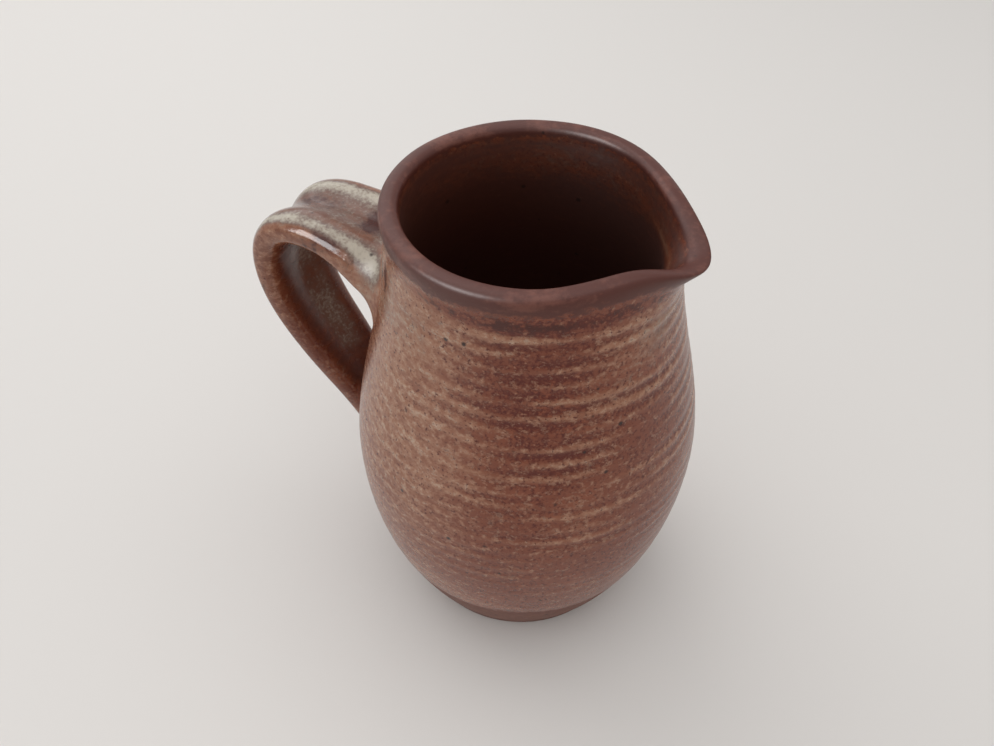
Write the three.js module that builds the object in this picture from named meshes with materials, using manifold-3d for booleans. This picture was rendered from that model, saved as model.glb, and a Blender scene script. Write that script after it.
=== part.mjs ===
// A stoneware milk jug: a wheel-thrown body with a pulled pouring lip, and a pulled strap handle
// that is luted on with slip. Millimetres, +Z up. The origin is the centre of the foot, on the
// surface that the jug stands on. The pouring lip points along +X and the handle along -X.

import * as THREE from "three";
import { mergeVertices } from "three/addons/utils/BufferGeometryUtils.js";
import Module from "manifold-3d";

const wasm = await Module();
wasm.setup();

// Outside of the thrown body
const HEIGHT = 130; // foot to rim
const FOOT_RADIUS = 32.5;
const FOOT_BEVEL = 0.8; // edge trimmed off the foot
const FOOT_FULLNESS = 2.1; // 1 is a straight wall from the foot to the belly, more is fuller
const BELLY_RADIUS = 45.9;
const BELLY_HEIGHT = 55; // widest part, above the foot
const NECK_RADIUS = 34.0;
const NECK_DROP = 7; // narrowest part, below the rim
const RIM_RADIUS = 34.5;
const LIP_THICKNESS = 4.6; // rounded over the top

// Inside of the thrown body
const WALL = 5.0;
const FLOOR = 7.5;
const BOWL_DEPTH = 30; // height over which the wall turns into the floor

// Marks of the potter's fingers round the outside
const RING_PITCH = 4.1;
const RING_DEPTH = 0.3;
const RING_START = 24; // lowest ring, above the foot
const RING_END = 12; // highest ring, below the rim

// Pouring lip, drawn out of the rim
const SPOUT_REACH = 6.2; // beyond the rim
const SPOUT_HALF_WIDTH = 10.6; // along the rim, where the lip has lost two thirds of its reach
const SPOUT_DEPTH = 19; // how far below the rim the wall starts to lean out
const SPOUT_DROP = 4.2; // how far the tip hangs below the rim
const PINCH_DEPTH = 1.5; // how far the fingers pressed the rim in, on both sides of the lip
const PINCH_OFFSET = 25; // from the tip to each press, along the rim
const PINCH_HALF_WIDTH = 14;

// Pulled handle, measured along the middle of the strap
const HANDLE_TOP_DROP = 27; // upper join, below the rim
const HANDLE_FOOT_RISE = 40; // lower join, above the foot
const HANDLE_REACH = 71.8; // from the jug's axis to the furthest part of the strap
const HANDLE_ELBOW_DROP = 39; // furthest part, below the rim
const HANDLE_CLIMB = 28; // degrees above level as the strap leaves the wall
const HANDLE_FALL = 57; // degrees below level as it comes back to the wall
const CREST_ARM = 18; // curve handles of the strap's path, from its upper join to its lower join
const SHOULDER_ARM = 22;
const ELBOW_ARM = 18;
const HEEL_ARM = 20;
const STRAP_WIDTH_TOP = 30;
const STRAP_WIDTH_BOTTOM = 19;
const STRAP_THICKNESS_TOP = 10.5;
const STRAP_THICKNESS_BOTTOM = 8;
const ROOT_SWELL = 4; // extra thickness where the strap meets the wall
const ROOT_LENGTH = 10; // length of strap over which that dies away
const ROOT_DROOP = 9; // how far the edges of the strap are smoothed down the wall at its upper join
const DROOP_LENGTH = 5.5; // length of strap over which that dies away
const GROOVE_WIDTH = 12; // thumb groove along the strap
const GROOVE_DEPTH_OUTSIDE = 3.0;
const GROOVE_DEPTH_INSIDE = 1.6;
const STRAP_SQUARENESS = 0.75; // 1 is an ellipse, less is fuller at the edges

// Slip that lutes the strap to the wall
const SLIP_BED = 1.2;
const SLIP_BEAD = 1.6; // squeezed out round the strap
const JOIN_GAP = 0.3;

// Fineness of the surfaces
const TURNS = 60; // facets round the body
const FOOT_STEPS = 6; // heights from the foot to the lowest ring
const RING_STEPS = 2; // heights for each ring
const LIP_STEPS = 6;
const WALL_STEPS = 16; // heights up the inside
const STRAP_SIDES = 22;
const STRAP_STATIONS = 30;
const ROOT_STATIONS = 5;
const MERGE_DISTANCE = 1e-4;

const NECK_HEIGHT = HEIGHT - NECK_DROP;
const LIP_RADIUS = LIP_THICKNESS / 2;
const LIP_HEIGHT = HEIGHT - LIP_RADIUS; // where the rounding of the rim starts

const mix = THREE.MathUtils.lerp;
const smooth = THREE.MathUtils.smoothstep;

// Outside radius of the body at a height, over the crests of the throwing rings.
function outsideRadius(height) {
  if (height <= BELLY_HEIGHT) {
    return mix(BELLY_RADIUS, FOOT_RADIUS, (1 - height / BELLY_HEIGHT) ** FOOT_FULLNESS);
  }
  if (height <= NECK_HEIGHT) {
    return mix(BELLY_RADIUS, NECK_RADIUS, smooth(height, BELLY_HEIGHT, NECK_HEIGHT));
  }
  return mix(NECK_RADIUS, RIM_RADIUS, smooth(height, NECK_HEIGHT, LIP_HEIGHT));
}

// Inside radius: a wall of even thickness that turns into a round-bottomed floor.
function insideRadius(height) {
  const wall = mix(WALL, LIP_THICKNESS, smooth(height, BELLY_HEIGHT, LIP_HEIGHT));
  const depth = Math.max(0, FLOOR + BOWL_DEPTH - height) / BOWL_DEPTH;
  return (outsideRadius(height) - wall) * Math.sqrt(Math.max(0, 1 - depth ** 3));
}

// Half section of the body, from the middle of the underside, up the outside and down the inside.
function bodyProfile() {
  const profile = [
    new THREE.Vector2(0, 0),
    new THREE.Vector2(FOOT_RADIUS - FOOT_BEVEL, 0),
  ];
  for (let step = 0; step < FOOT_STEPS; step += 1) {
    const height = mix(FOOT_BEVEL, RING_START, step / FOOT_STEPS);
    profile.push(new THREE.Vector2(outsideRadius(height), height));
  }
  const ringZone = HEIGHT - RING_END - RING_START;
  const ringSteps = RING_STEPS * Math.round(ringZone / RING_PITCH);
  for (let step = 0; step <= ringSteps; step += 1) {
    const height = RING_START + (ringZone * step) / ringSteps;
    const sunk = RING_DEPTH * (0.5 - 0.5 * Math.cos((2 * Math.PI * step) / RING_STEPS));
    profile.push(new THREE.Vector2(outsideRadius(height) - sunk, height));
  }
  profile.push(new THREE.Vector2(NECK_RADIUS, NECK_HEIGHT));
  for (let step = 0; step <= LIP_STEPS; step += 1) {
    const turn = (Math.PI * step) / LIP_STEPS;
    const radius = RIM_RADIUS - LIP_RADIUS + LIP_RADIUS * Math.cos(turn);
    profile.push(new THREE.Vector2(radius, LIP_HEIGHT + LIP_RADIUS * Math.sin(turn)));
  }
  for (let step = 1; step < WALL_STEPS; step += 1) {
    const height = mix(LIP_HEIGHT, FLOOR, Math.sin((0.5 * Math.PI * step) / WALL_STEPS));
    profile.push(new THREE.Vector2(insideRadius(height), height));
  }
  profile.push(new THREE.Vector2(0, FLOOR));
  return profile;
}

function lathe(profile) {
  return new THREE.LatheGeometry(profile, TURNS).rotateX(Math.PI / 2);
}

// Draws the rim out and down into the pouring lip, and presses it in on both sides of the lip.
function pullSpout(geometry) {
  const points = geometry.attributes.position;
  const bell = (distance, halfWidth) => Math.exp(-((distance / halfWidth) ** 2));
  for (let i = 0; i < points.count; i += 1) {
    const radius = Math.hypot(points.getX(i), points.getY(i));
    const pull = Math.max(0, 1 - (HEIGHT - points.getZ(i)) / SPOUT_DEPTH) ** 2;
    if (radius > 0 && pull > 0) {
      const along = RIM_RADIUS * Math.atan2(points.getY(i), points.getX(i));
      const tip = bell(along, SPOUT_HALF_WIDTH);
      const press = bell(Math.abs(along) - PINCH_OFFSET, PINCH_HALF_WIDTH);
      const moved = radius + pull * (SPOUT_REACH * tip - PINCH_DEPTH * press);
      points.setX(i, (points.getX(i) * moved) / radius);
      points.setY(i, (points.getY(i) * moved) / radius);
      points.setZ(i, points.getZ(i) - pull * SPOUT_DROP * tip);
    }
  }
  return geometry;
}

// Middle line of the strap, from the upper join to the lower one, as two curves that meet at the elbow.
function strapPath() {
  const topHeight = HEIGHT - HANDLE_TOP_DROP;
  const climb = THREE.MathUtils.degToRad(HANDLE_CLIMB);
  const fall = THREE.MathUtils.degToRad(HANDLE_FALL);
  const at = (reach, height) => new THREE.Vector3(-reach, 0, height);
  const top = at(outsideRadius(topHeight), topHeight);
  const bottom = at(outsideRadius(HANDLE_FOOT_RISE), HANDLE_FOOT_RISE);
  const elbow = at(HANDLE_REACH, HEIGHT - HANDLE_ELBOW_DROP);
  const leave = at(Math.cos(climb), Math.sin(climb));
  const arrive = at(-Math.cos(fall), -Math.sin(fall));
  const path = new THREE.CurvePath();
  path.add(new THREE.CubicBezierCurve3(
    top,
    top.clone().addScaledVector(leave, CREST_ARM),
    elbow.clone().setZ(elbow.z + SHOULDER_ARM),
    elbow,
  ));
  path.add(new THREE.CubicBezierCurve3(
    elbow,
    elbow.clone().setZ(elbow.z - ELBOW_ARM),
    bottom.clone().addScaledVector(arrive, -HEEL_ARM),
    bottom,
  ));
  return path;
}

// Outline of the strap across its path: a full oval with the thumb groove, grown by a margin.
function strapSection(width, thickness, margin) {
  const full = (value) => Math.sign(value) * Math.abs(value) ** STRAP_SQUARENESS;
  const outline = [];
  for (let side = 0; side < STRAP_SIDES; side += 1) {
    const turn = (2 * Math.PI * side) / STRAP_SIDES;
    const across = (width / 2 + margin) * full(Math.cos(turn));
    const out = (thickness / 2 + margin) * full(Math.sin(turn));
    const groove = out > 0 ? GROOVE_DEPTH_OUTSIDE : -GROOVE_DEPTH_INSIDE;
    const hollow = groove * Math.exp(-((across / (GROOVE_WIDTH / 2)) ** 2)) * Math.abs(Math.sin(turn));
    outline.push([across, out - hollow]);
  }
  return outline;
}

// Ring of points round the strap at a place on its path. Places before 0 or past 1 carry on
// straight, into the wall.
function strapRing(path, place, margin) {
  const inPath = THREE.MathUtils.clamp(place, 0, 1);
  const length = path.getLength();
  const tangent = path.getTangentAt(inPath);
  const middle = path.getPointAt(inPath).addScaledVector(tangent, (place - inPath) * length);
  const outward = new THREE.Vector3(tangent.z, 0, -tangent.x);
  const fromJoin = Math.min(inPath, 1 - inPath) * length;
  const swell = ROOT_SWELL * Math.exp(-((fromJoin / ROOT_LENGTH) ** 2));
  const width = mix(STRAP_WIDTH_TOP, STRAP_WIDTH_BOTTOM, inPath);
  const thickness = mix(STRAP_THICKNESS_TOP, STRAP_THICKNESS_BOTTOM, inPath) + swell;
  const droop = ROOT_DROOP * Math.exp(-((inPath * length / DROOP_LENGTH) ** 2));
  return strapSection(width, thickness, margin).map(([across, out]) => {
    const lowered = out - droop * (2 * across / width) ** 2;
    return middle.clone().addScaledVector(outward, lowered).setY(across);
  });
}

function loft(rings) {
  const sides = rings[0].length;
  const points = rings.flat();
  const index = [];
  for (let ring = 0; ring + 1 < rings.length; ring += 1) {
    for (let side = 0; side < sides; side += 1) {
      const here = ring * sides + side;
      const next = ring * sides + ((side + 1) % sides);
      index.push(here, next + sides, next, here, here + sides, next + sides);
    }
  }
  const middleOf = (ring) => ring.reduce((sum, p) => sum.add(p), new THREE.Vector3()).divideScalar(sides);
  const firstMiddle = points.push(middleOf(rings[0])) - 1;
  const lastMiddle = points.push(middleOf(rings.at(-1))) - 1;
  const lastRing = (rings.length - 1) * sides;
  for (let side = 0; side < sides; side += 1) {
    const next = (side + 1) % sides;
    index.push(firstMiddle, side, next, lastMiddle, lastRing + next, lastRing + side);
  }
  const geometry = new THREE.BufferGeometry().setFromPoints(points);
  geometry.setIndex(index);
  return geometry;
}

// How far the strap's blank runs into the wall, so that its whole end is inside the body.
function rootDepth(width, wallRadius) {
  const edge = width / 2 + SLIP_BEAD;
  const curveBack = wallRadius - Math.sqrt(wallRadius ** 2 - edge ** 2);
  return curveBack + STRAP_THICKNESS_TOP + ROOT_SWELL;
}

function solid(geometry) {
  geometry.deleteAttribute("normal");
  geometry.deleteAttribute("uv");
  const merged = mergeVertices(geometry, MERGE_DISTANCE);
  const vertProperties = new Float32Array(merged.attributes.position.array);
  const triVerts = new Uint32Array(merged.index.array);
  return new wasm.Manifold(new wasm.Mesh({ numProp: 3, vertProperties, triVerts }));
}

function geometryOf(manifold) {
  const mesh = manifold.getMesh();
  const geometry = new THREE.BufferGeometry();
  geometry.setAttribute("position", new THREE.BufferAttribute(mesh.vertProperties, 3));
  geometry.setIndex(new THREE.BufferAttribute(mesh.triVerts, 1));
  geometry.computeVertexNormals();
  return geometry;
}

// Filled shape of the body's outside, grown by a clearance. It trims what is joined to the wall.
function bodyEnvelope(clearance) {
  const profile = [new THREE.Vector2(0, 0)];
  const steps = Math.round(HEIGHT / RING_PITCH) * RING_STEPS;
  for (let step = 0; step <= steps; step += 1) {
    const height = (HEIGHT * step) / steps;
    profile.push(new THREE.Vector2(outsideRadius(height) + clearance, height));
  }
  profile.push(new THREE.Vector2(0, HEIGHT));
  return solid(lathe(profile));
}

const path = strapPath();
const topDepth = rootDepth(STRAP_WIDTH_TOP, outsideRadius(HEIGHT - HANDLE_TOP_DROP)) / path.getLength();
const footDepth = rootDepth(STRAP_WIDTH_BOTTOM, outsideRadius(HANDLE_FOOT_RISE)) / path.getLength();

function strapBlank() {
  const rings = [strapRing(path, -topDepth, 0)];
  for (let station = 0; station <= STRAP_STATIONS; station += 1) {
    rings.push(strapRing(path, station / STRAP_STATIONS, 0));
  }
  rings.push(strapRing(path, 1 + footDepth, 0));
  return solid(loft(rings));
}

function pulledHandle() {
  return strapBlank().subtract(bodyEnvelope(JOIN_GAP + SLIP_BED + JOIN_GAP));
}

// Bed of slip between the wall and one end of the strap, between two places on the strap's path.
function lutingSlip(from, to) {
  const rings = [];
  for (let station = 0; station <= ROOT_STATIONS; station += 1) {
    rings.push(strapRing(path, mix(from, to, station / ROOT_STATIONS), SLIP_BEAD));
  }
  return solid(loft(rings))
    .intersect(bodyEnvelope(JOIN_GAP + SLIP_BED))
    .subtract(bodyEnvelope(JOIN_GAP));
}

const glazedStoneware = { color: 0x7d5a45, roughness: 0.22, metalness: 0 };
const palerGlaze = { color: 0x8f7f6a, roughness: 0.22, metalness: 0 };
const slipUnderGlaze = { color: 0x6a4232, roughness: 0.3, metalness: 0 };

function piece(name, geometry, finish) {
  const mesh = new THREE.Mesh(geometry, new THREE.MeshStandardMaterial(finish));
  mesh.name = name;
  return mesh;
}

const jug = new THREE.Group();
jug.add(piece("thrown_body", geometryOf(solid(pullSpout(lathe(bodyProfile())))), glazedStoneware));
jug.add(piece("pulled_handle", geometryOf(pulledHandle()), palerGlaze));
jug.add(piece("upper_luting_slip", geometryOf(lutingSlip(-topDepth, topDepth)), slipUnderGlaze));
jug.add(piece("lower_luting_slip", geometryOf(lutingSlip(1 - footDepth, 1 + footDepth)), slipUnderGlaze));

export default jug;
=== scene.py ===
"""Stoneware milk jug: thrown, luted, glazed and fired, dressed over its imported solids.

Shapes are worked out in millimetres in the row frame (+Z up, pouring lip along +X, handle
along -X) and written to the meshes in metres.
"""

import logging
import math
from dataclasses import dataclass
from enum import Enum
from typing import Any

import bpy
import numpy as np
from mathutils import Matrix, Vector, noise


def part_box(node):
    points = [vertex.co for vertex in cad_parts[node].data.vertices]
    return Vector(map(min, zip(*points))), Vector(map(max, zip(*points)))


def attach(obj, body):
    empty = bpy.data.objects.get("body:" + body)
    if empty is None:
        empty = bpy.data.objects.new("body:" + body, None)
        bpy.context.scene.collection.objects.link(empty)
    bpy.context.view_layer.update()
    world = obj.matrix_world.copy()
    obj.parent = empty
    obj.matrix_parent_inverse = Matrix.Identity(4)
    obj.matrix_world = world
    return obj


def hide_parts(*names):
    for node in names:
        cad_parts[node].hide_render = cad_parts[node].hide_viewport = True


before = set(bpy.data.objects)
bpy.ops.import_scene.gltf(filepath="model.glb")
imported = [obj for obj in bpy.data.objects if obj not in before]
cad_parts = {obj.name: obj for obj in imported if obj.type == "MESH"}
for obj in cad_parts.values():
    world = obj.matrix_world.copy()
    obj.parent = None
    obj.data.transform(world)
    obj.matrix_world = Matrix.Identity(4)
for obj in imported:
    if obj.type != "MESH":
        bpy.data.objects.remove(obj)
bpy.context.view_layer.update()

MM = 0.001

Array = np.ndarray
Fields = dict[str, Array]

log = logging.getLogger("milk_jug")


class Coat(Enum):
    """What the glaze does at a place, and the light and shade painted into it, kept on the meshes
    as one number per vertex.
    """

    BREAK_AND_PAINTED_LIGHT = "thin_glaze_and_painted_light"
    HOLLOW_AND_PAINTED_SHADE = "groove_glaze_and_painted_shade"
    POOL = "pooled_glaze"
    DRIP = "iron_drips_and_painted_shade"
    RIM = "rim_band"
    INSIDE = "inside_glaze"
    BARE = "bare_clay"


class Join(Enum):
    """The two places where the strap meets the wall."""

    UPPER = "upper"
    LOWER = "lower"


class Chance(Enum):
    """What came out unevenly: its start in the noise and the width of a patch in millimetres."""

    RIM_HEIGHT = (1.9, 16.0)
    LINING_EDGE = (2.9, 14.0)
    RING_PATH = (3.1, 26.0)
    RIM_BAND = (4.2, 12.0)
    FOOT_EDGE = (5.7, 14.0)
    STRAP_STREAKS = (6.3, 7.0)
    LINING = (7.7, 12.0)
    RING_STRENGTH = (8.4, 30.0)
    DRIPS = (9.1, 3.5)
    GLAZE_CLOUDS = (12.6, 30.0)


def linear(colour: str) -> tuple[float, float, float, float]:
    """Turn an sRGB hex colour into the linear values that shaders take.

    Args:
        colour: Six hex digits after a hash.

    Returns:
        Linear red, green and blue, and an alpha of 1.
    """
    parts = [int(colour[at : at + 2], 16) / 255 for at in (1, 3, 5)]
    red, green, blue = [p / 12.92 if p <= 0.04045 else ((p + 0.055) / 1.055) ** 2.4 for p in parts]
    return red, green, blue, 1.0


def mix(low: Any, high: Any, share: Any) -> Any:
    """Go from one value to another by a share between 0 and 1."""
    return low + (high - low) * share


def smooth(value: Any, low: Any, high: Any) -> Any:
    """Rise softly from 0 at one value to 1 at another."""
    t = np.clip((value - low) / (high - low), 0.0, 1.0)
    return t * t * (3 - 2 * t)


def bell(distance: Any, half_width: float) -> Any:
    """Fall off evenly to both sides of a middle."""
    return np.exp(-((distance / half_width) ** 2))


def signed_power(value: Array, power: float) -> Array:
    """Raise values to a power and keep their signs, which squares off a circle."""
    return np.sign(value) * np.abs(value) ** power


def unevenness(points: Array, chance: Chance) -> Array:
    """Slow random variation over a surface, the same on every run.

    Args:
        points: Places in millimetres, with the coordinates in the last axis.
        chance: What varies.

    Returns:
        One value for each place, about -1 to 1.
    """
    seed, width = chance.value
    start = Vector((seed, 2.3 * seed, -1.7 * seed))
    flat = points.reshape(-1, 3) / width
    values = [noise.noise(Vector(place) + start) for place in flat]
    return np.array(values).reshape(points.shape[:-1])


def on_circle(theta: Array, radius: Any, height: Any) -> Array:
    """Points at angles, radii and heights round the jug's axis."""
    parts = np.broadcast_arrays(radius * np.cos(theta), radius * np.sin(theta), height)
    return np.stack(parts, axis=-1)


def angle_of(points: Array) -> Array:
    """Angle of each point round the jug's axis."""
    return np.arctan2(points[..., 1], points[..., 0])


def unit(vectors: Array) -> Array:
    """Vectors brought to a length of 1."""
    return vectors / np.linalg.norm(vectors, axis=-1, keepdims=True)


def all_coats(given: dict[Coat, Array]) -> Fields:
    """Give each coat a value at every place: 0 where nothing is said about it.

    Args:
        given: Values of the coats that matter on a surface.

    Returns:
        Values of all the coats, under the names that the meshes keep them by.
    """
    none = 0 * next(iter(given.values()))
    return {coat.value: given.get(coat, none) for coat in Coat}


def tube(
    name: str, rings: Array, fields: Fields, looped: bool = False, creases: tuple[int, ...] = ()
) -> bpy.types.Object:
    """Make a closed mesh from rings of points.

    Args:
        name: Name of the piece.
        rings: Points in millimetres, one row for each ring, all rings with as many points.
        fields: Value of each coat for each point.
        looped: True where the last ring joins the first one. Otherwise both ends are closed.
        creases: Rings where the surface turns sharply.

    Returns:
        The piece, smooth shaded, in the scene.
    """
    rows, sides = rings.shape[:2]
    points = rings.reshape(-1, 3)
    here = np.arange(rows * sides).reshape(rows, sides)
    if looped:
        here = np.vstack([here, here[:1]])
    nearer, further = here[:-1], here[1:]
    quads = np.stack(
        [nearer, np.roll(nearer, -1, axis=1), np.roll(further, -1, axis=1), further], axis=-1
    )
    faces = quads.reshape(-1, 4).tolist()
    ends = [] if looped else [here[0][::-1], here[-1]]
    values = {coat: field.reshape(-1) for coat, field in fields.items()}
    for end in ends:
        middle = len(points)
        points = np.vstack([points, points[end].mean(axis=0)])
        values = {coat: np.append(field, field[end].mean()) for coat, field in values.items()}
        faces += [[middle, int(b), int(a)] for a, b in zip(np.roll(end, -1), end)]
    mesh = bpy.data.meshes.new(name)
    mesh.from_pydata((points * MM).tolist(), [], faces)
    for coat, field in values.items():
        layer = mesh.attributes.new(coat, "FLOAT", "POINT")
        layer.data.foreach_set("value", field.astype(np.float32))
    mesh.polygons.foreach_set("use_smooth", [True] * len(mesh.polygons))
    mesh.update()
    pairs = np.empty(2 * len(mesh.edges), dtype=np.int32)
    mesh.edges.foreach_get("vertices", pairs)
    first, second = pairs.reshape(-1, 2).T // sides
    sharp = mesh.attributes.new("sharp_edge", "BOOLEAN", "EDGE")
    sharp.data.foreach_set("value", (first == second) & np.isin(first, creases))
    piece = bpy.data.objects.new(name, mesh)
    bpy.context.scene.collection.objects.link(piece)
    return piece


def add_node(
    tree: bpy.types.NodeTree, kind: str, feeds: dict[Any, Any] | None = None, **settings: Any
) -> bpy.types.Node:
    """Add a shader node, set its options and feed its inputs.

    Args:
        tree: Node tree that takes it.
        kind: Node type, without the words ShaderNode before it.
        feeds: For each input, by name or place, a value or the output that it is linked to.
        settings: Options of the node itself.

    Returns:
        The new node.
    """
    node = tree.nodes.new("ShaderNode" + kind)
    for option, value in settings.items():
        setattr(node, option, value)
    for socket, feed in (feeds or {}).items():
        if isinstance(feed, bpy.types.NodeSocket):
            tree.links.new(feed, node.inputs[socket])
        else:
            node.inputs[socket].default_value = feed
    return node


@dataclass(frozen=True)
class Mottle:
    """One scale of patchiness in a glaze or a clay.

    size is the width of a patch in millimetres, and flat says how many times wider than tall
    it is, because fingers and a turning wheel draw everything out sideways.
    """

    size: float
    flat: float = 1.0
    detail: float = 3.0
    rough: float = 0.6


@dataclass(frozen=True)
class Layer:
    """One colour of the fired surface and where it shows.

    It shows where its coat, made patchy by the mottles in patches, rises from low to high.
    """

    colour: str
    coat: Coat | None
    patches: tuple[tuple[str, float], ...]
    low: float
    high: float
    roughness: float | None = None


@dataclass(frozen=True)
class IronGlaze:
    """Stoneware dipped in an iron glaze and fired in reduction.

    Thick glaze in the hollows stays red-brown. Over crests and edges it runs thin and breaks to
    tan specks, iron from the clay burns through as dark dots, and where the coat is heaviest it
    goes milky and pale. The melt is a glass, so it is glossy with a faint orange-peel. The wiped
    rim and foot show the vitrified clay itself, purple-brown and satin. The finest iron dust is
    about 0.3 mm wide on such a pot and is drawn at 0.8 mm, so that it shows.
    """

    name: str
    ground: str = "#7a402b"
    rust: str = "#88462d"
    gloss: float = 0.26
    ior: float = 1.43
    mottles: tuple[tuple[str, Mottle], ...] = (
        ("cloud", Mottle(26.0, 1.4)),
        ("band", Mottle(8.0, 4.5)),
        ("grain", Mottle(1.8, 1.3, 4.0, 0.66)),
        ("dust", Mottle(0.8, 1.0, 2.0)),
        ("grit", Mottle(1.2, 1.2, 3.0)),
        ("run", Mottle(6.0, 0.6, 4.0)),
        ("peel", Mottle(2.6, 1.0, 2.0)),
    )
    # The break, hollow and drip colours also show the painted light and painted shade that the
    # body's coats carry.
    layers: tuple[Layer, ...] = (
        Layer("#5a1e10", Coat.HOLLOW_AND_PAINTED_SHADE, (("band", 1.6), ("grain", 4.4), ("dust", 3.0)), 0.1, 1.15),
        Layer("#905f47", Coat.BREAK_AND_PAINTED_LIGHT, (("cloud", 0.8), ("band", 0.8)), 0.0, 1.0),
        Layer("#a5785f", Coat.BREAK_AND_PAINTED_LIGHT, (("band", 0.8), ("grain", 4.6), ("cloud", 0.8)), 0.05, 1.2),
        Layer("#bc9f89", Coat.BREAK_AND_PAINTED_LIGHT, (("grain", 4.4), ("dust", 2.0), ("band", 1.0)), 0.85, 1.8),
        Layer("#9c6c54", None, (("grit", 5.0),), 0.3, 1.3),
        Layer("#551d10", None, (("dust", 6.0),), 0.4, 1.3),
        Layer("#6f584e", Coat.POOL, (("run", 0.8), ("grain", 0.6)), 0.1, 0.85),
        Layer("#b9b0a0", Coat.POOL, (("run", 1.0), ("grain", 1.2), ("dust", 1.6)), 0.45, 1.5),
        Layer("#481b10", Coat.DRIP, (("run", 1.2), ("grain", 1.8)), 0.3, 0.8),
        Layer("#542920", Coat.RIM, (("band", 0.8), ("grain", 1.8)), 0.2, 0.8, 0.42),
        Layer("#6f4034", Coat.RIM, (("cloud", 2.6), ("band", 1.2), ("grain", 1.4)), 0.9, 1.5, 0.4),
        Layer("#4c281f", Coat.INSIDE, (("grain", 0.5), ("band", 0.6)), 0.1, 0.9, 0.45),
        Layer("#673c2e", Coat.BARE, (("grain", 1.6), ("band", 1.2)), 0.2, 0.9, 0.6),
        Layer("#7b4f3e", Coat.BARE, (("cloud", 1.6), ("grain", 2.4)), 0.9, 1.6, 0.6),
    )
    grained: tuple[str, ...] = ("grain", "dust", "grit")
    graininess: float = 1.0
    iron: str = "#2e150e"
    speck_spacing: float = 4.6
    speck_width: float = 1.4
    speck_share: float = 0.6
    speck_edge: tuple[float, float] = (-0.05, 0.07)
    relief: float = 0.055
    grain_relief: float = 0.35

    def mottling(self, tree: bpy.types.NodeTree, place: Any) -> dict[str, Any]:
        """Add the noise for each mottle.

        Args:
            tree: Node tree that takes it.
            place: Output with the place on the piece.

        Returns:
            The output of each mottle, about 0.5 on average.
        """
        patches = {}
        for label, mottle in self.mottles:
            drawn = add_node(tree, "Mapping", {"Vector": place, "Scale": (1, 1, mottle.flat)})
            feeds = {
                "Vector": drawn.outputs["Vector"],
                "Scale": 1 / (mottle.size * MM),
                "Detail": mottle.detail,
                "Roughness": mottle.rough,
            }
            patches[label] = add_node(tree, "TexNoise", feeds).outputs["Fac"]
        return patches

    def shares(
        self, tree: bpy.types.NodeTree, layer: Layer, coat: Any, patches: dict[str, Any]
    ) -> Any:
        """Work out where one layer shows.

        Args:
            tree: Node tree that takes the sums.
            layer: The layer.
            coat: Output with the value of its coat, or 0 for a layer that has none.
            patches: Output of each mottle.

        Returns:
            Output that is 1 where the layer covers and 0 where it doesn't.
        """
        level, middle = coat, 0.0
        for label, weight in layer.patches:
            held = weight * (self.graininess if label in self.grained else 1.0)
            feeds = {0: patches[label], 1: held, 2: level}
            level = add_node(tree, "Math", feeds, operation="MULTIPLY_ADD").outputs[0]
            middle += 0.5 * held
        feeds = {"Value": level, "From Min": layer.low + middle, "From Max": layer.high + middle}
        return add_node(tree, "MapRange", feeds, interpolation_type="SMOOTHSTEP").outputs["Result"]

    def specks(self, tree: bpy.types.NodeTree, place: Any) -> Any:
        """Scatter iron specks of many sizes over the surface.

        Args:
            tree: Node tree that takes them.
            place: Output with the place on the piece.

        Returns:
            Output that is 1 on a speck and 0 beside it.
        """
        scale = 1 / (self.speck_spacing * MM)
        cells = add_node(tree, "TexVoronoi", {"Vector": place, "Scale": scale})
        lot = add_node(tree, "SeparateColor", {"Color": cells.outputs["Color"]})
        feeds = {
            "Value": lot.outputs["Red"],
            "From Min": 1 - self.speck_share,
            "From Max": 1.0,
            "To Max": 0.5 * self.speck_width / self.speck_spacing,
        }
        reach = add_node(tree, "MapRange", feeds).outputs["Result"]
        feeds = {0: reach, 1: cells.outputs["Distance"]}
        inner = add_node(tree, "Math", feeds, operation="SUBTRACT").outputs[0]
        feeds = {"Value": inner, "From Min": self.speck_edge[0], "From Max": self.speck_edge[1]}
        return add_node(tree, "MapRange", feeds, interpolation_type="SMOOTHSTEP").outputs["Result"]

    def material(self) -> bpy.types.Material:
        """Build the shader.

        Returns:
            The material, which reads the coats that the meshes carry.
        """
        made = bpy.data.materials.new(self.name)
        made.use_nodes = True
        tree = made.node_tree
        shader = tree.nodes["Principled BSDF"]
        place = add_node(tree, "TexCoord").outputs["Object"]
        coats: dict[Coat | None, Any] = {None: 0.0}
        for coat in Coat:
            coats[coat] = add_node(tree, "Attribute", attribute_name=coat.value).outputs["Fac"]
        patches = self.mottling(tree, place)

        colour: Any = linear(self.ground)
        shine: Any = self.gloss
        clouds = Layer(self.rust, None, (("cloud", 2.2), ("band", 1.4)), -0.1, 0.6)
        for layer in (clouds, *self.layers):
            share = self.shares(tree, layer, coats[layer.coat], patches)
            feeds = {0: share, 6: colour, 7: linear(layer.colour)}
            colour = add_node(tree, "Mix", feeds, data_type="RGBA").outputs[2]
            if layer.roughness:
                shine = add_node(tree, "Mix", {0: share, 2: shine, 3: layer.roughness}).outputs[0]
        feeds = {0: self.specks(tree, place), 6: colour, 7: linear(self.iron)}
        colour = add_node(tree, "Mix", feeds, data_type="RGBA").outputs[2]

        feeds = {0: patches["grain"], 1: self.grain_relief, 2: patches["peel"]}
        height = add_node(tree, "Math", feeds, operation="MULTIPLY_ADD").outputs[0]
        feeds = {"Height": height, "Strength": 1.0, "Distance": self.relief * MM}
        bump = add_node(tree, "Bump", feeds)
        tree.links.new(colour, shader.inputs["Base Color"])
        tree.links.new(shine, shader.inputs["Roughness"])
        tree.links.new(bump.outputs["Normal"], shader.inputs["Normal"])
        shader.inputs["IOR"].default_value = self.ior
        return made


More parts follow.
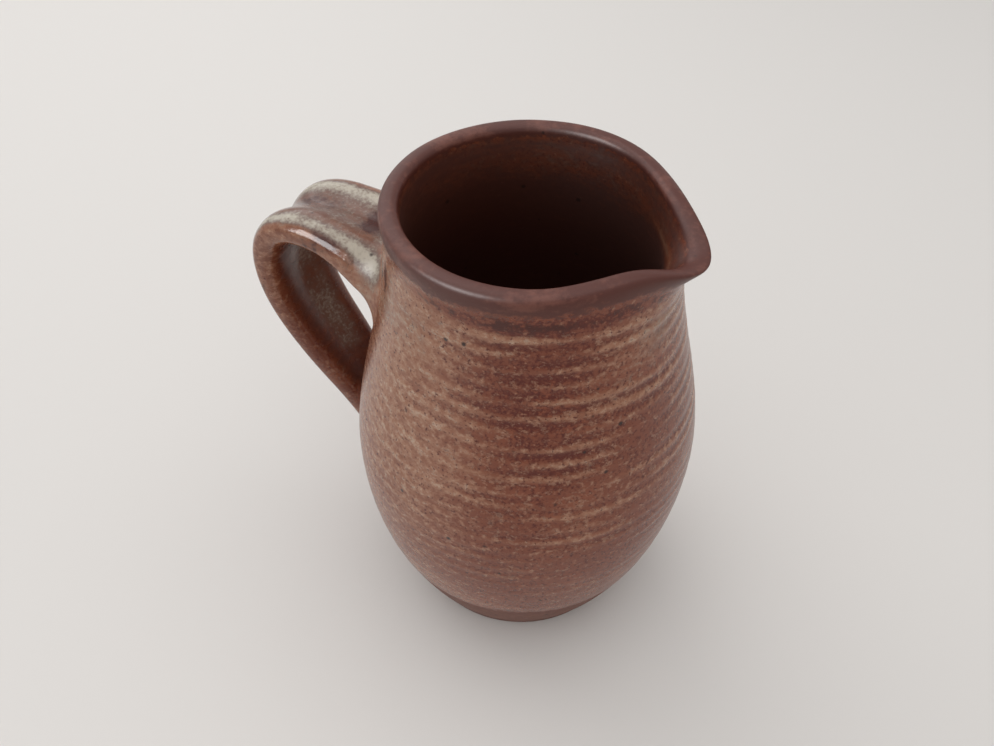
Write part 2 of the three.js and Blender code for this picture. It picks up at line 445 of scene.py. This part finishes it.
@dataclass(frozen=True)
class Patch:
    """Area of the wall where the glaze came out differently, most of all in its middle; the one
    under the rim is painted shade.

    Angles are in radians round the axis from the pouring lip, and heights in millimetres.
    """

    angle: float
    half_angle: float
    height: float
    half_height: float
    strength: float = 1.0

    def share(self, theta: Array, z: Array) -> Array:
        """The patch's strength in its middle, falling off to 0 around it."""
        round_axis = bell(theta - self.angle, self.half_angle)
        return self.strength * round_axis * bell(z - self.height, self.half_height)


@dataclass
class ThrownBody:
    """Body of the jug: thrown on the wheel, its rim pulled into a pouring lip.

    Sizes are in millimetres and headings in degrees. height and belly_radius come from the
    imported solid.
    """

    height: float
    belly_radius: float
    foot_radius: float = 32.5
    foot_edge: float = 0.8
    foot_fullness: float = 2.1
    belly_height: float = 55.0
    neck_radius: float = 34.0
    neck_drop: float = 7.0
    rim_radius: float = 34.5
    lip_thickness: float = 4.6
    lip_squareness: float = 0.72
    wall: float = 5.0
    floor: float = 7.5
    bowl_depth: float = 30.0
    spout_reach: float = 6.2
    spout_half_width: float = 10.6
    spout_depth: float = 19.0
    spout_drop: float = 4.2
    pinch_depth: float = 1.5
    pinch_offset: float = 25.0
    pinch_half_width: float = 14.0
    ring_pitch: float = 4.0
    ring_top: float = 119.0
    ring_top_heading: float = -65.0
    ring_relief: float = 0.24
    ring_faint: float = 0.08
    ring_middle: float = 0.7
    ring_wander: float = 0.6
    ring_sharpness: float = 1.7
    ring_spread_from: float = 47.0
    ring_spread: float = 100.0
    ring_start: tuple[float, float] = (12.0, 30.0)
    ring_end: tuple[float, float] = (119.5, 122.5)
    ring_growth: tuple[float, float] = (40.0, 105.0)
    glaze_line: float = 20.5
    glaze_line_lean: float = 1.6
    glaze_line_waver: float = 1.2
    glaze_fade: float = 2.4
    glaze_thickness: float = 0.2
    rim_line: float = 125.5
    inside_line: float = 9.0
    belly_lean: float = 0.5
    lean_heading: float = 25.0
    lean_height: float = 75.0
    lean_spread: float = 38.0
    out_of_round: float = 0.2
    round_again: float = 8.0
    rim_waver: float = 0.25
    red_front: Patch = Patch(-1.05, 0.45, 98.0, 24.0)
    tan_back: Patch = Patch(2.0, 0.9, 75.0, 40.0, strength=0.8)
    # Painted shade: a darker band just under the rolled rim.
    painted_shade_under_rim: Patch = Patch(-1.1, 0.9, 122.6, 2.0)
    pale_necks: tuple[Patch, ...] = (Patch(-0.25, 0.25, 113.0, 6.0), Patch(-2.3, 0.45, 112.0, 9.0))
    drips: tuple[Patch, ...] = (
        Patch(-2.4, 0.06, 115.0, 5.0, strength=0.9),
        Patch(-2.56, 0.06, 115.0, 5.0),
    )
    columns: int = 288
    row_step: float = 0.5
    underside_rings: tuple[float, ...] = (4.0, 8.0, 12.0, 16.0, 20.0, 24.0, 28.0, 30.5, 31.5)
    foot_rows: int = 6
    lip_rows: int = 20
    lip_gap: float = 0.2
    inside_rows: int = 90
    closing_radius: float = 0.02

    @property
    def neck_height(self) -> float:
        """Height of the narrowest part, below the rim."""
        return self.height - self.neck_drop

    @property
    def lip_height(self) -> float:
        """Height where the rounding of the rim starts."""
        return self.height - self.lip_thickness / 2

    def plain_radius(self, z: Any) -> Any:
        """Outside radius at a height, as it was meant on the wheel.

        Args:
            z: Heights.

        Returns:
            A radius for each height.
        """
        rest = np.clip(1 - z / self.belly_height, 0, 1) ** self.foot_fullness
        belly = mix(self.belly_radius, self.foot_radius, rest)
        shoulder = smooth(z, self.belly_height, self.neck_height)
        lip = smooth(z, self.neck_height, self.lip_height)
        upper = mix(mix(self.belly_radius, self.neck_radius, shoulder), self.rim_radius, lip)
        return np.where(z <= self.belly_height, belly, upper)

    def inside_radius(self, z: Any) -> Any:
        """Inside radius at a height: an even wall that turns into a round-bottomed floor.

        Args:
            z: Heights.

        Returns:
            A radius for each height.
        """
        wall = mix(self.wall, self.lip_thickness, smooth(z, self.belly_height, self.lip_height))
        depth = np.maximum(0.0, self.floor + self.bowl_depth - z) / self.bowl_depth
        return (self.plain_radius(z) - wall) * np.sqrt(np.maximum(0.0, 1 - depth**3))

    def ring_crest(self, theta: Array, z: Array) -> Array:
        """How near a place is to the crest of a throwing ring.

        The fingers climb the turning wall in one spiral, and faster close to the foot.

        Args:
            theta: Angles round the axis.
            z: Heights.

        Returns:
            1 on a crest, 0 in the hollow between two.
        """
        places = on_circle(theta, self.belly_radius, z)
        spread = np.maximum(0.0, self.ring_spread_from - z) ** 2 / self.ring_spread
        even = z + spread + self.ring_wander * unevenness(places, Chance.RING_PATH)
        round_axis = (theta - math.radians(self.ring_top_heading)) / (2 * math.pi)
        turns = (self.ring_top - even) / self.ring_pitch - round_axis
        return (0.5 + 0.5 * np.cos(2 * math.pi * turns)) ** self.ring_sharpness

    def ring_strength(self, theta: Array, z: Array) -> Array:
        """How strongly the rings show: most under the neck, least near the foot.

        Args:
            theta: Angles round the axis.
            z: Heights.

        Returns:
            About 0 to 1 for each place.
        """
        zone = smooth(z, *self.ring_start) * (1 - smooth(z, *self.ring_end))
        level = mix(self.ring_faint / self.ring_relief, 1.0, smooth(z, *self.ring_growth))
        # Fainter beside the handle, where wet fingers went over the wall again.
        side = 1 - 0.6 * smooth(-theta, 1.6, 2.3)
        # Heights count six times, so that the strength changes from ring to ring.
        places = on_circle(theta, self.belly_radius, z * 6)
        uneven = 0.7 + 1.4 * unevenness(places, Chance.RING_STRENGTH)
        return zone * side * level * np.clip(uneven, 0.1, 1.4)

    def wiped_share(self, theta: Array, z: Array) -> Array:
        """How far the glaze is wiped off the wall, below a wandering edge.

        Args:
            theta: Angles round the axis.
            z: Heights.

        Returns:
            1 on the wiped foot, 0 on the glazed wall.
        """
        waver = unevenness(on_circle(theta, self.foot_radius, 0 * z), Chance.FOOT_EDGE)
        edge = self.glaze_line + self.glaze_line_lean * np.cos(theta + 0.9)
        edge = edge + self.glaze_line_waver * waver
        return 1 - smooth(z, edge - self.glaze_fade, edge + self.glaze_fade)

    def outside_radius(self, theta: Array, z: Array) -> Array:
        """Outside radius of the fired wall, with its rings, its glaze and its unevenness.

        Args:
            theta: Angles round the axis.
            z: Heights.

        Returns:
            A radius for each place.
        """
        crest = self.ring_crest(theta, z) - self.ring_middle
        rings = self.ring_relief * self.ring_strength(theta, z) * crest
        lean = self.belly_lean * np.cos(theta - math.radians(self.lean_heading))
        lean = lean * bell(z - self.lean_height, self.lean_spread)
        below_neck = 1 - smooth(z, self.neck_height - self.round_again, self.neck_height)
        oval = np.cos(2 * theta - 1.1) + 0.6 * np.cos(3 * theta + 0.8)
        oval = self.out_of_round * oval * smooth(z, 0, self.belly_height) * below_neck
        bare = self.glaze_thickness * self.wiped_share(theta, z)
        return self.plain_radius(z) + rings + lean + oval - bare

    def pull_lip(self, points: Array) -> Array:
        """Draw the rim out and down into the pouring lip, pressed in on both sides.

        Args:
            points: Points of the round body.

        Returns:
            The points where the potter's fingers left them.
        """
        theta = angle_of(points)
        along = self.rim_radius * theta
        pull = np.maximum(0.0, 1 - (self.height - points[..., 2]) / self.spout_depth) ** 2
        tip = bell(along, self.spout_half_width)
        press = bell(np.abs(along) - self.pinch_offset, self.pinch_half_width)
        out = pull * (self.spout_reach * tip - self.pinch_depth * press)
        radius = np.hypot(points[..., 0], points[..., 1]) + out
        rim = on_circle(theta, self.rim_radius, 0 * theta)
        waver = self.rim_waver * unevenness(rim, Chance.RIM_HEIGHT)
        z = points[..., 2] + pull * (waver - self.spout_drop * tip)
        return on_circle(theta, radius, z)

    def glaze(self, theta: Array, z: Array) -> Fields:
        """What the glaze does on the outside of the wall, with painted light and painted shade
        added.

        Args:
            theta: Angles round the axis.
            z: Heights.

        Returns:
            A value for each coat and place.
        """
        places = on_circle(theta, self.plain_radius(z), z)
        strength, crest = self.ring_strength(theta, z), self.ring_crest(theta, z)
        # Where the coat ran thin and pale and where it stayed thick and red-brown, with painted
        # light and painted shade mixed in.
        cloud = unevenness(places, Chance.GLAZE_CLOUDS)
        # Painted shade in the band just under the rim is kept in under.
        red, under = self.red_front.share(theta, z), self.painted_shade_under_rim.share(theta, z)
        neck = sum(patch.share(theta, z) for patch in self.pale_necks)
        # Painted light: paler on the front-left side, where the light falls.
        left = smooth(-theta, 1.2, 1.9) * (1 - 0.6 * smooth(-theta, 2.2, 2.6)) * bell(z - 85, 45)
        tan = left + self.tan_back.share(theta, z) + 0.5 * bell(z - 119.5, 2.5)
        # Painted shade on the right side, away from the light; the glaze is also less pale towards
        # the bottom.
        low, shaded_right_side = 1 - smooth(z, 45, 85), bell(theta + 0.2, 0.55)
        pale = 0.2 + 0.35 * cloud + 0.5 * tan + 0.4 * neck
        pale = pale - 0.4 * red - 0.6 * under - 0.15 * (low + shaded_right_side)
        deep = 0.18 + 0.5 * red + 0.8 * under + 0.15 * shaded_right_side - 0.4 * tan - 0.25 * cloud
        # Dark drips, broken up by noise that is drawn out downwards, and the wiped band at the rim.
        broken = 0.55 + 1.5 * unevenness(places * (1, 1, 0.4), Chance.DRIPS)
        drip = sum(patch.share(theta, z) for patch in self.drips) * np.clip(broken, 0, 1.2)
        band = self.rim_line + 0.6 * np.cos(theta + 1.0)
        band = band + 0.7 * unevenness(places, Chance.RIM_BAND)
        wiped = self.wiped_share(theta, z)
        return all_coats(
            {
                Coat.BREAK_AND_PAINTED_LIGHT: (1 - wiped) * (0.65 * strength * crest + pale),
                Coat.HOLLOW_AND_PAINTED_SHADE: (1 - wiped) * (0.65 * strength * (1 - crest) + deep),
                Coat.POOL: 0.35 * neck,
                # The drip coat also takes the painted shade under the rim.
                Coat.DRIP: drip + 0.7 * under,
                Coat.RIM: smooth(z, band - 3.0, band + 1.8),
                Coat.BARE: np.maximum(wiped, 1 - smooth(z, 0.2, self.foot_edge)),
            }
        )

    def lining(self, theta: Array, z: Array) -> Fields:
        """What the glaze does inside, under a wiped band below the rim.

        Args:
            theta: Angles round the axis.
            z: Heights.

        Returns:
            A value for each coat and place.
        """
        places = on_circle(theta, self.rim_radius, z)
        depth = self.height - z
        line = self.inside_line + 1.2 * unevenness(places, Chance.LINING_EDGE)
        edge = bell(depth - line - 0.8, 0.9) * bell(theta - 0.3, 0.5)
        rusty = bell(depth - 9, 6) * (0.55 + 0.45 * np.cos(theta - 1.2))
        below_rim = smooth(depth, 1.2, 3.5)
        return all_coats(
            {
                Coat.BREAK_AND_PAINTED_LIGHT: 0.8 * edge + 0.1 * rusty + 0.2 * unevenness(places, Chance.LINING),
                Coat.HOLLOW_AND_PAINTED_SHADE: 0.3 + 0 * z,
                Coat.RIM: 1 - below_rim,
                Coat.INSIDE: below_rim * (0.9 - 0.35 * rusty - 0.6 * edge),
            }
        )

    def section(self) -> tuple[Array, Array, Array]:
        """Half section from the middle of the underside, up the wall and down the inside.

        Returns:
            Radii, heights, and for each point how far it is outside: 1 on the wall, 0 inside.
        """
        edge, pin, lip = self.foot_edge, self.closing_radius, self.lip_thickness / 2
        quarter = np.linspace(0, math.pi / 2, self.foot_rows)
        half = np.linspace(0, math.pi, self.lip_rows)
        square = self.lip_squareness
        under = np.array([pin, *self.underside_rings])
        wall_z = np.arange(edge, self.lip_height - self.lip_gap, self.row_step)[1:]
        fall = np.sin(np.linspace(0, math.pi / 2, self.inside_rows))
        inside_z = mix(self.lip_height, self.floor, fall)[1:-1]
        flat = self.foot_radius - edge
        parts = (
            (under, 0 * under, 0 * under + 1),
            (
                flat + (self.plain_radius(edge) - flat) * np.sin(quarter),
                edge - edge * np.cos(quarter),
                0 * quarter + 1,
            ),
            (self.plain_radius(wall_z), wall_z, 0 * wall_z + 1),
            (
                self.rim_radius - lip + lip * signed_power(np.cos(half), square),
                self.lip_height + lip * signed_power(np.sin(half), square),
                0.5 + 0.5 * np.cos(half),
            ),
            (self.inside_radius(inside_z), inside_z, 0 * inside_z),
            ([pin], [self.floor], [0.0]),
        )
        radii, heights, outer = (np.concatenate(column) for column in zip(*parts))
        return radii, heights, outer

    def build(self, finish: bpy.types.Material) -> bpy.types.Object:
        """Make the glazed body and dress it.

        Args:
            finish: Its glaze.

        Returns:
            The piece.
        """
        turn = np.linspace(0, 2 * math.pi, self.columns, endpoint=False)
        turn = (turn + math.pi) % (2 * math.pi) - math.pi
        radius, height, outer = [column[:, None] for column in self.section()]
        theta, z = np.broadcast_arrays(turn[None, :], height)
        on_wall = (height > self.foot_edge) & (outer >= 1)
        wall = self.outside_radius(theta, z)
        fired = np.where(on_wall, wall, radius)
        above = smooth(height, self.neck_height, self.lip_height)
        fired = mix(fired, np.broadcast_to(radius, fired.shape), above)
        rings = self.pull_lip(on_circle(theta, fired, z))

        outside, lining = self.glaze(theta, z), self.lining(theta, z)
        fields = {coat: mix(lining[coat], outside[coat], outer) for coat in outside}
        piece = tube("glazed_body", rings, fields)
        piece.data.materials.append(finish)
        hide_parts("thrown_body")
        return piece


@dataclass
class StrapHandle:
    """Strap pulled from a lump of clay, bent to an ear and luted to the wall.

    Sizes are in millimetres, climb and fall in degrees. The reach is from the jug's axis to the
    middle of the strap.
    """

    body: ThrownBody
    reach: float = 71.8
    top_drop: float = 27.0
    foot_rise: float = 40.0
    elbow_drop: float = 39.0
    climb: float = 28.0
    fall: float = 57.0
    crest_arm: float = 18.0
    shoulder_arm: float = 22.0
    elbow_arm: float = 18.0
    heel_arm: float = 20.0
    width_top: float = 30.0
    width_bottom: float = 19.0
    thickness_top: float = 10.5
    thickness_bottom: float = 8.0
    root_swell: float = 4.0
    root_length: float = 10.0
    root_droop: float = 2.0
    droop_length: float = 9.0
    groove_width: float = 12.0
    groove_outside: float = 3.0
    groove_inside: float = 1.6
    squareness: float = 0.75
    groove_wander: float = 0.7
    groove_wave: float = 13.0
    twist: float = 1.4
    twist_start: tuple[float, float] = (5.0, 18.0)
    twist_end: tuple[float, float] = (8.0, 30.0)
    sunk: float = 1.6
    search: tuple[float, float] = (-16.0, 22.0)
    search_steps: int = 191
    sides: int = 88
    stations: int = 180
    spine_points: int = 240

    def __post_init__(self) -> None:
        """Work out the middle line of the strap, and the length and heading along it."""
        top_z = self.body.height - self.top_drop
        top = np.array([float(self.body.plain_radius(top_z)), top_z])
        bottom = np.array([float(self.body.plain_radius(self.foot_rise)), self.foot_rise])
        elbow = np.array([self.reach, self.body.height - self.elbow_drop])
        climb, fall = math.radians(self.climb), math.radians(self.fall)
        leave = np.array([math.cos(climb), math.sin(climb)])
        arrive = np.array([math.cos(fall), math.sin(fall)])
        up = np.array([0.0, 1.0])
        arcs = (
            (top, top + self.crest_arm * leave, elbow + self.shoulder_arm * up, elbow),
            (elbow, elbow - self.elbow_arm * up, bottom + self.heel_arm * arrive, bottom),
        )
        t = np.linspace(0, 1, self.spine_points)[:, None]
        curves = [
            (1 - t) ** 3 * a + 3 * t * (1 - t) ** 2 * b + 3 * t**2 * (1 - t) * c + t**3 * d
            for a, b, c, d in arcs
        ]
        self.line = np.vstack([curves[0], curves[1][1:]])
        steps = np.hypot(*np.diff(self.line, axis=0).T)
        self.lengths = np.concatenate([[0.0], np.cumsum(steps)])
        self.length = float(self.lengths[-1])
        heading = np.gradient(self.line, self.lengths, axis=0)
        self.heading = heading / np.hypot(*heading.T)[:, None]

    def spine(self, s: Array) -> tuple[Array, Array]:
        """Middle line of the strap, which carries on straight past both joins.

        Args:
            s: Lengths along the strap from its upper join.

        Returns:
            Reach and height of each place, and the direction of the strap there.
        """
        held = np.clip(s, 0, self.length)
        place, along = (
            np.stack([np.interp(held, self.lengths, column) for column in table.T], axis=-1)
            for table in (self.line, self.heading)
        )
        along = unit(along)
        return place + along * (s - held)[..., None], along

    def surface(self, s: Array, turn: Array) -> Array:
        """Points on the strap.

        Args:
            s: Lengths along the strap from its upper join.
            turn: Angles round the strap, with the outer face at a quarter turn.

        Returns:
            A point for each place.
        """
        place, along = self.spine(s)
        share = np.clip(s / self.length, 0, 1)
        from_top = share * self.length
        from_join = np.minimum(from_top, self.length - from_top)
        width = mix(self.width_top, self.width_bottom, share)
        thickness = mix(self.thickness_top, self.thickness_bottom, share)
        thickness = thickness + self.root_swell * bell(from_join, self.root_length)
        across = width / 2 * signed_power(np.cos(turn), self.squareness)
        out = thickness / 2 * signed_power(np.sin(turn), self.squareness)
        groove = np.where(out > 0, self.groove_outside, -self.groove_inside)
        wander = self.groove_wander * np.sin(s / self.groove_wave + 0.6)
        out = out - groove * bell(across - wander, self.groove_width / 2) * np.abs(np.sin(turn))
        droop = self.root_droop * bell(from_top, self.droop_length)
        tilt = 2 * across / width
        twist = self.twist * smooth(from_top, *self.twist_start)
        twist = twist * smooth(self.length - from_top, *self.twist_end)
        out = out - droop * tilt**2 - twist * (0.65 * tilt + 0.35 * np.abs(tilt))
        outward = np.stack([-along[..., 1], along[..., 0]], axis=-1)
        flat = place + outward * out[..., None]
        return np.stack([-flat[..., 0], across, flat[..., 1]], axis=-1)

    def meeting(self, join: Join, turn: Array) -> Array:
        """Where each line along the strap meets the wall.

        Args:
            join: Which end of the strap.
            turn: Angles of the lines round the strap.

        Returns:
            Length along the strap at which each line meets the wall.
        """
        start, step = (0.0, 1.0) if join is Join.UPPER else (self.length, -1.0)
        steps = np.linspace(*self.search, self.search_steps)
        s = start + step * steps
        points = self.surface(*np.broadcast_arrays(s[:, None], turn[None, :]))
        wall = self.body.outside_radius(angle_of(points), points[..., 2])
        gap = np.hypot(points[..., 0], points[..., 1]) - wall
        last = len(steps) - 1 - np.argmax((gap < 0)[::-1], axis=0)
        lines = np.arange(len(turn))
        inner, outer = gap[last, lines], gap[np.minimum(last + 1, len(steps) - 1), lines]
        return s[last] + step * (steps[1] - steps[0]) * inner / (inner - outer)

    def glaze(self, s: Array, turn: Array) -> Fields:
        """What the glaze does on the strap.

        Args:
            s: Lengths along the strap from its upper join.
            turn: Angles round the strap.

        Returns:
            A value for each coat and place.
        """
        share = np.clip(s / self.length, 0, 1)
        across, out = np.cos(turn), np.sin(turn)
        outer, inner = smooth(out, -0.1, 0.6), smooth(-out, 0.5, 0.95)
        near, hollow = smooth(-across, 0.6, 0.95), bell(across, 0.35)
        ridge = bell(np.abs(across) - 0.62, 0.3)
        high = 1 - smooth(share, 0.42, 0.75)

        # Milky pools on the outer face, at the upper root and down the inner face. The cream on the
        # far slope, which faces the light, is partly milky glaze and partly painted light.
        near_crest, far_slope = bell(across + 0.7, 0.15), bell(across - 0.44, 0.19)
        root = bell(s, 8) * bell(across + 0.8, 0.2) + bell(s - 1.5, 3) * hollow
        stripe = inner * bell(across - 0.15, 0.45) * (1 - smooth(share, 0.7, 0.95))
        pool = outer * high * (near_crest + far_slope + 0.55 * bell(across + 0.1, 0.6))
        # Iron stains in the groove, and streaks on the edge towards the camera.
        streaks = unevenness(np.stack([s, 9 * across, 9 * out], axis=-1), Chance.STRAP_STREAKS)
        stain = (bell(s - 7.5, 3) + 0.6 * bell(s - 26, 13)) * hollow
        stain = stain + (0.5 * bell(s - 16, 8) + 0.45 * smooth(streaks, 0.0, 0.45)) * near
        thin = 0.1 + 0.3 * ridge * outer + 0.4 * near * high - 0.15 * inner + 0.5 * bell(s, 4)
        return all_coats(
            {
                Coat.BREAK_AND_PAINTED_LIGHT: thin,
                Coat.HOLLOW_AND_PAINTED_SHADE: 0.3 * (1 - outer) + 0.25 * smooth(share, 0.5, 0.9),
                Coat.POOL: pool + 0.75 * root + 0.6 * stripe,
                Coat.DRIP: stain * mix(0.7, 1.0, outer),
                Coat.INSIDE: 0.65 * inner * (1 - 0.7 * stripe),
            }
        )

    def build(self, finish: bpy.types.Material) -> bpy.types.Object:
        """Make the strap and dress it.

        Args:
            finish: Its glaze.

        Returns:
            The piece.
        """
        turn = np.linspace(0, 2 * math.pi, self.sides, endpoint=False)
        first = self.meeting(Join.UPPER, turn) - self.sunk
        last = self.meeting(Join.LOWER, turn) + self.sunk
        share = np.linspace(0, 1, self.stations)[:, None]
        s = mix(first[None, :], last[None, :], share)
        turns = np.broadcast_to(turn[None, :], s.shape)
        piece = tube("strap_handle", self.surface(s, turns), self.glaze(s, turns))
        piece.data.materials.append(finish)
        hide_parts("pulled_handle")
        return piece


@dataclass
class SlipFillet:
    """Slip squeezed out round one end of the strap and wiped smooth into the wall.

    Sizes are in millimetres.
    """

    handle: StrapHandle
    join: Join
    up_strap: float = 8.0
    up_wall: float = 4.0
    down_wall: float = 10.0
    proud: float = 0.03
    sunk: float = 0.12
    thick: float = 1.0
    blend: tuple[float, float] = (0.3, 0.9)
    rows: int = 18

    @property
    def away(self) -> float:
        """Which way along the strap leads away from this join."""
        return 1.0 if self.join is Join.UPPER else -1.0

    def rings(self, met: Array, turn: Array) -> Array:
        """Points of the fillet, from its edge on the strap over the wall and back underneath.

        Args:
            met: Length along the strap at which each of its lines meets the wall.
            turn: Angles of the lines round the strap.

        Returns:
            Points in millimetres, one row for each ring round the strap.
        """
        handle, body = self.handle, self.handle.body
        foot = handle.surface(met, turn)
        start = handle.surface(met + self.away * self.up_strap, turn)
        middle = handle.spine(met + self.away * self.up_strap)[0]
        outward = unit(start - np.stack([-middle[:, 0], 0 * turn, middle[:, 1]], axis=-1))

        theta, z = angle_of(foot), foot[:, 2]
        # Slope of the wall, over one millimetre of height.
        lean = body.plain_radius(z + 0.5) - body.plain_radius(z - 0.5)
        normal = unit(np.stack([np.cos(theta), np.sin(theta), -lean], axis=-1))
        spread = unit(outward - normal * np.sum(outward * normal, axis=-1, keepdims=True))
        reach = mix(self.up_wall, self.down_wall, smooth(-spread[:, 2], -1, 1))
        end = foot + spread * reach[:, None]
        end = on_circle(angle_of(end), body.outside_radius(angle_of(end), end[:, 2]), end[:, 2])

        t = np.linspace(0, 1, self.rows)[:, None, None]
        skin = (1 - t) ** 2 * (start + self.proud * outward) + 2 * t * (1 - t) * foot + t**2 * end
        wall = body.outside_radius(angle_of(skin), skin[..., 2])
        lifted = np.maximum(np.hypot(skin[..., 0], skin[..., 1]) - wall, 0)
        skin = on_circle(angle_of(skin), wall + lifted - self.sunk * t[..., 0] ** 4, skin[..., 2])
        into_wall, into_strap = normal * self.thick, outward * self.thick
        buried = np.stack([end - into_wall, foot - into_wall, start - into_strap])
        return np.concatenate([skin, buried])

    def build(self, name: str, node: str, finish: bpy.types.Material) -> bpy.types.Object:
        """Make the fillet and dress it.

        Args:
            name: Name of the piece.
            node: Solid that it stands for.
            finish: Its glaze.

        Returns:
            The piece.
        """
        turn = np.linspace(0, 2 * math.pi, self.handle.sides, endpoint=False)
        met = self.handle.meeting(self.join, turn)
        rings = self.rings(met, turn)
        down = np.concatenate([np.linspace(0, 1, self.rows), [1, 0.5, 0]])[:, None]
        up = met[None, :] + self.away * self.up_strap * (1 - down) ** 2
        strap = self.handle.glaze(up, np.broadcast_to(turn, up.shape))
        clay = self.handle.body.glaze(angle_of(rings), rings[..., 2])
        share = smooth(down, *self.blend)
        fields = {coat: mix(strap[coat], clay[coat], share) for coat in strap}
        piece = tube(name, rings, fields, looped=True, creases=(0, self.rows - 1))
        piece.data.materials.append(finish)
        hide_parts(node)
        return piece


@dataclass(frozen=True)
class Lamp:
    """Square soft lamp that is aimed at the jug.

    Lengths are in metres, heading and height in degrees. One that only glints shows in the glaze
    and lights nothing.
    """

    name: str
    side: float
    distance: float
    watts: float
    heading: float
    height: float
    only_glints: bool = False


@dataclass
class Studio:
    """Pale table, soft light from the side and above, and the camera at the photograph's angle.

    The camera's place and the table's drop are in millimetres, and the camera's angles in
    degrees. The table's side and the nearest distance that the camera sees are in metres.
    """

    camera_place: tuple[float, float, float] = (57.8, -145.07, 237.49)
    camera_heading: float = 24.6
    camera_drop: float = 46.24
    camera_roll: float = 0.8
    focal_pixels: float = 850.0
    image_width: float = 994.0
    sensor: float = 36.0
    nearest: float = 0.01
    table_side: float = 6.0
    table_drop: float = 0.1
    table_colour: str = "#dedad6"
    table_roughness: float = 0.6
    sky_colour: str = "#f4f4f4"
    sky_level: float = 0.65
    lamps: tuple[Lamp, ...] = (
        Lamp("window", 0.9, 0.95, 2.3, 152.0, 42.0),
        Lamp("ceiling", 1.0, 0.85, 2.7, 0.0, 90.0),
        Lamp("card", 0.7, 1.15, 18.0, 240.0, 33.0, only_glints=True),
    )

    def table(self) -> bpy.types.Object:
        """Lay the pale table top under the jug.

        Returns:
            The table top.
        """
        half = self.table_side / 2
        mesh = bpy.data.meshes.new("table_top")
        corners = [(-half, -half, 0), (half, -half, 0), (half, half, 0), (-half, half, 0)]
        mesh.from_pydata(corners, [], [(0, 1, 2, 3)])
        top = bpy.data.objects.new("table_top", mesh)
        top.location.z = -self.table_drop * MM
        bpy.context.scene.collection.objects.link(top)
        # Moulded laminate: an even off-white with a soft sheen and no mirror image.
        paint = bpy.data.materials.new("matt_white_laminate")
        paint.use_nodes = True
        shader = paint.node_tree.nodes["Principled BSDF"]
        shader.inputs["Base Color"].default_value = linear(self.table_colour)
        shader.inputs["Roughness"].default_value = self.table_roughness
        mesh.materials.append(paint)
        return top

    def light(self) -> None:
        """Hang the lamps and the even light of a white room."""
        for lamp in self.lamps:
            light = bpy.data.lights.new(lamp.name, "AREA")
            light.shape = "SQUARE"
            light.size = lamp.side
            light.energy = lamp.watts
            hung = bpy.data.objects.new(lamp.name, light)
            hung.visible_diffuse = not lamp.only_glints
            heading, height = math.radians(lamp.heading), math.radians(lamp.height)
            flat = math.cos(height)
            towards = Vector((flat * math.cos(heading), flat * math.sin(heading), math.sin(height)))
            hung.location = towards * lamp.distance
            hung.rotation_euler = towards.to_track_quat("Z", "Y").to_euler()
            bpy.context.scene.collection.objects.link(hung)
        world = bpy.data.worlds.new("white_room")
        world.use_nodes = True
        sky = world.node_tree.nodes["Background"]
        sky.inputs["Color"].default_value = linear(self.sky_colour)
        sky.inputs["Strength"].default_value = self.sky_level
        bpy.context.scene.world = world

    def camera(self) -> None:
        """Set the camera up where the photograph was taken from."""
        lens = bpy.data.cameras.new("camera")
        lens.sensor_width = self.sensor
        lens.lens = self.sensor * self.focal_pixels / self.image_width
        lens.clip_start = self.nearest
        eye = bpy.data.objects.new("camera", lens)
        turned = (
            Matrix.Rotation(math.radians(self.camera_heading), 4, "Z")
            @ Matrix.Rotation(math.radians(90 - self.camera_drop), 4, "X")
            @ Matrix.Rotation(math.radians(self.camera_roll), 4, "Z")
        )
        eye.matrix_world = Matrix.Translation(Vector(self.camera_place) * MM) @ turned
        bpy.context.scene.collection.objects.link(eye)
        bpy.context.scene.camera = eye


def main() -> None:
    """Build the jug in the order that it was made, then the studio round it."""
    logging.basicConfig(level=logging.INFO, format="%(name)s: %(message)s")
    body_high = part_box("thrown_body")[1]
    body = ThrownBody(height=body_high[2] / MM, belly_radius=body_high[1] / MM)
    handle = StrapHandle(body)
    # One dip over the thrown wall: red-brown, speckled tan on the crests, glossy.
    brown = IronGlaze("iron_glaze_on_thrown_stoneware").material()
    # Glaze that gathered on the strap: a thicker, glassier coat, milky where it pooled.
    milky = IronGlaze(
        "pooled_iron_glaze_on_strap",
        ground="#6e3a27",
        rust="#804529",
        gloss=0.16,
        graininess=0.75,
        speck_width=0.9,
        relief=0.07,
    ).material()
    # Slip sponged smooth under the glaze: duller, with a fainter grain.
    luted = IronGlaze("iron_glaze_over_luting_slip", gloss=0.4, graininess=0.85).material()
    upper = SlipFillet(handle, Join.UPPER)
    lower = SlipFillet(handle, Join.LOWER)
    pieces = (
        (body.build(brown), "glazed_stoneware"),
        (handle.build(milky), "pooled_glaze"),
        (upper.build("upper_slip_fillet", "upper_luting_slip", luted), "slip_under_glaze"),
        (lower.build("lower_slip_fillet", "lower_luting_slip", luted), "slip_under_glaze"),
    )
    for piece, slot in pieces:
        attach(piece, "root")
        log.info("%s: %d faces, slot %s", piece.name, len(piece.data.polygons), slot)

    studio = Studio()
    studio.table()
    studio.light()
    studio.camera()
    bpy.context.scene.view_settings.view_transform = "Standard"


if __name__ == "__main__":
    main()
